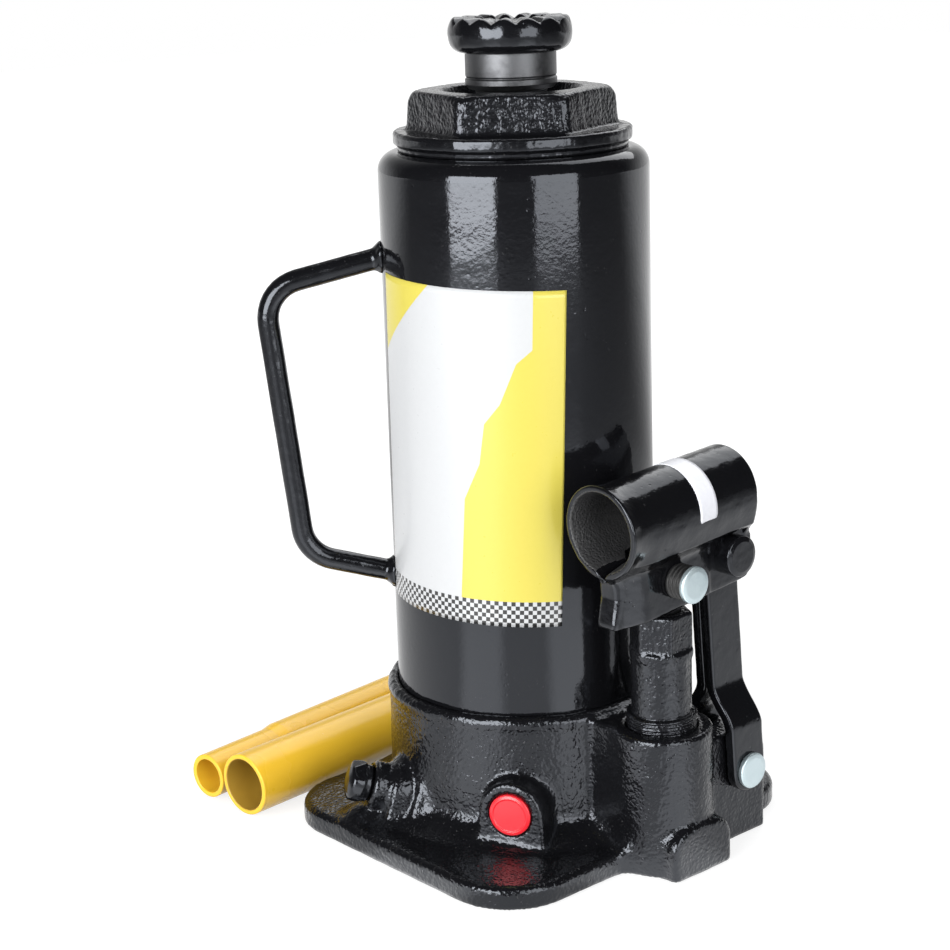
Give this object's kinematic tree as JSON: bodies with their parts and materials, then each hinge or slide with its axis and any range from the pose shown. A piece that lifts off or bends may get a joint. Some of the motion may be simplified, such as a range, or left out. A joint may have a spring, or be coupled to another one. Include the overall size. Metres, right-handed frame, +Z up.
{
  "type": "hydraulic bottle jack",
  "caption": "Black hydraulic bottle jack: cast base, round oil reservoir, ram with screw-out saddle, lever pump, carry handle and loose yellow levers.",
  "frame": {"origin": "middle of the ram's axis on the underside of the base plate", "axes": "+Z up along the ram, +X towards the pump, +Y towards the back end of the lever socket"},
  "size_m": [0.173, 0.1982, 0.2307],
  "materials": {
    "cast_black": "gloss paint over a sand casting",
    "gloss_black": "gloss",
    "steel": "turned",
    "spring_steel": "dark",
    "ball_steel": "polished",
    "zinc": "zinc plated",
    "rubber": "matt",
    "polyurethane": "satin",
    "copper": "annealed",
    "red_plastic": "moulded",
    "yellow_paint": "gloss",
    "label_film": "printed film",
    "sticker_film": "printed film"
  },
  "bodies": {
    "base": {"base_casting": "cast_black", "reservoir_tube": "gloss_black", "tube_seal": "rubber", "carry_handle": "gloss_black", "label": "label_film", "filler_plug": "rubber", "pressure_cylinder": "steel", "cylinder_gasket": "copper", "top_nut": "gloss_black", "nut_seal": "rubber", "ram_wiper": "rubber", "pump_cylinder": "gloss_black", "pump_washer": "copper", "suction_ball": "ball_steel", "discharge_ball": "ball_steel", "relief_cap": "red_plastic", "relief_adjuster": "steel", "relief_spring": "steel", "relief_ball": "ball_steel", "release_ball": "ball_steel"},
    "ram": {"ram": "steel", "ram_stop_ring": "spring_steel", "piston_washer": "steel", "piston_cup": "polyurethane", "piston_nut": "steel"},
    "screw_carrier": {"screw_collar": "steel"},
    "screw": {"extension_screw": "steel", "saddle": "gloss_black"},
    "link": {"link_plate_right": "gloss_black", "link_plate_left": "gloss_black", "lug_pin_zinc": "zinc", "lug_pin_clip": "spring_steel"},
    "socket": {"lever_socket": "gloss_black", "socket_sticker": "sticker_film", "front_pin_zinc": "zinc", "front_pin_bush": "gloss_black", "rear_pin_black": "gloss_black", "socket_pin_clips": "spring_steel"},
    "plunger": {"plunger": "steel", "plunger_seal": "rubber"},
    "release_valve": {"release_valve": "gloss_black", "release_seal": "rubber"},
    "wide_lever": {"wide_lever": "yellow_paint"},
    "slim_lever": {"slim_lever": "yellow_paint"}
  },
  "joints": [
    {"name": "ram_lift", "type": "slide", "parent": "base", "child": "ram", "axis": [0, 0, 1], "range_m": [0, 0.15]},
    {"name": "screw_extend", "type": "slide", "parent": "ram", "child": "screw_carrier", "axis": [0, 0, 1], "range_m": [0, 0.08]},
    {"name": "screw_turn", "type": "hinge", "parent": "screw_carrier", "child": "screw", "pos_m": [0, 0, 0.2], "axis": [0, 0, 1], "range_deg": [0, 7200]},
    {"name": "link_swing", "type": "hinge", "parent": "base", "child": "link", "pos_m": [0.0546, 0.0257, 0.0214], "axis": [1, 0, 0], "range_deg": [0, 1.2]},
    {"name": "socket_swing", "type": "hinge", "parent": "link", "child": "socket", "pos_m": [0.0546, 0.0205, 0.0856], "axis": [-1, 0, 0], "range_deg": [0, 36]},
    {"name": "plunger_stroke", "type": "slide", "parent": "base", "child": "plunger", "axis": [0, 0, 1], "range_m": [0, 0.0126]},
    {"name": "release_turn", "type": "hinge", "parent": "base", "child": "release_valve", "pos_m": [-0.0115, -0.0428, 0.014], "axis": [-0.504, -0.8065, 0.309], "range_deg": [0, 360]},
    {"name": "wide_lever_lift", "type": "slide", "parent": "base", "child": "wide_lever", "axis": [0, 0, 1], "range_m": [0, 0.05]},
    {"name": "slim_lever_lift", "type": "slide", "parent": "base", "child": "slim_lever", "axis": [0, 0, 1], "range_m": [0, 0.05]}
  ],
  "couplings": [
    {"joint": "screw_turn", "follows": "screw_extend", "rad_per_m": 1570.8},
    {"joint": "link_swing", "follows": "socket_swing", "ratio": 0.0325},
    {"joint": "plunger_stroke", "follows": "socket_swing", "m_per_rad": 0.01946}
  ]
}
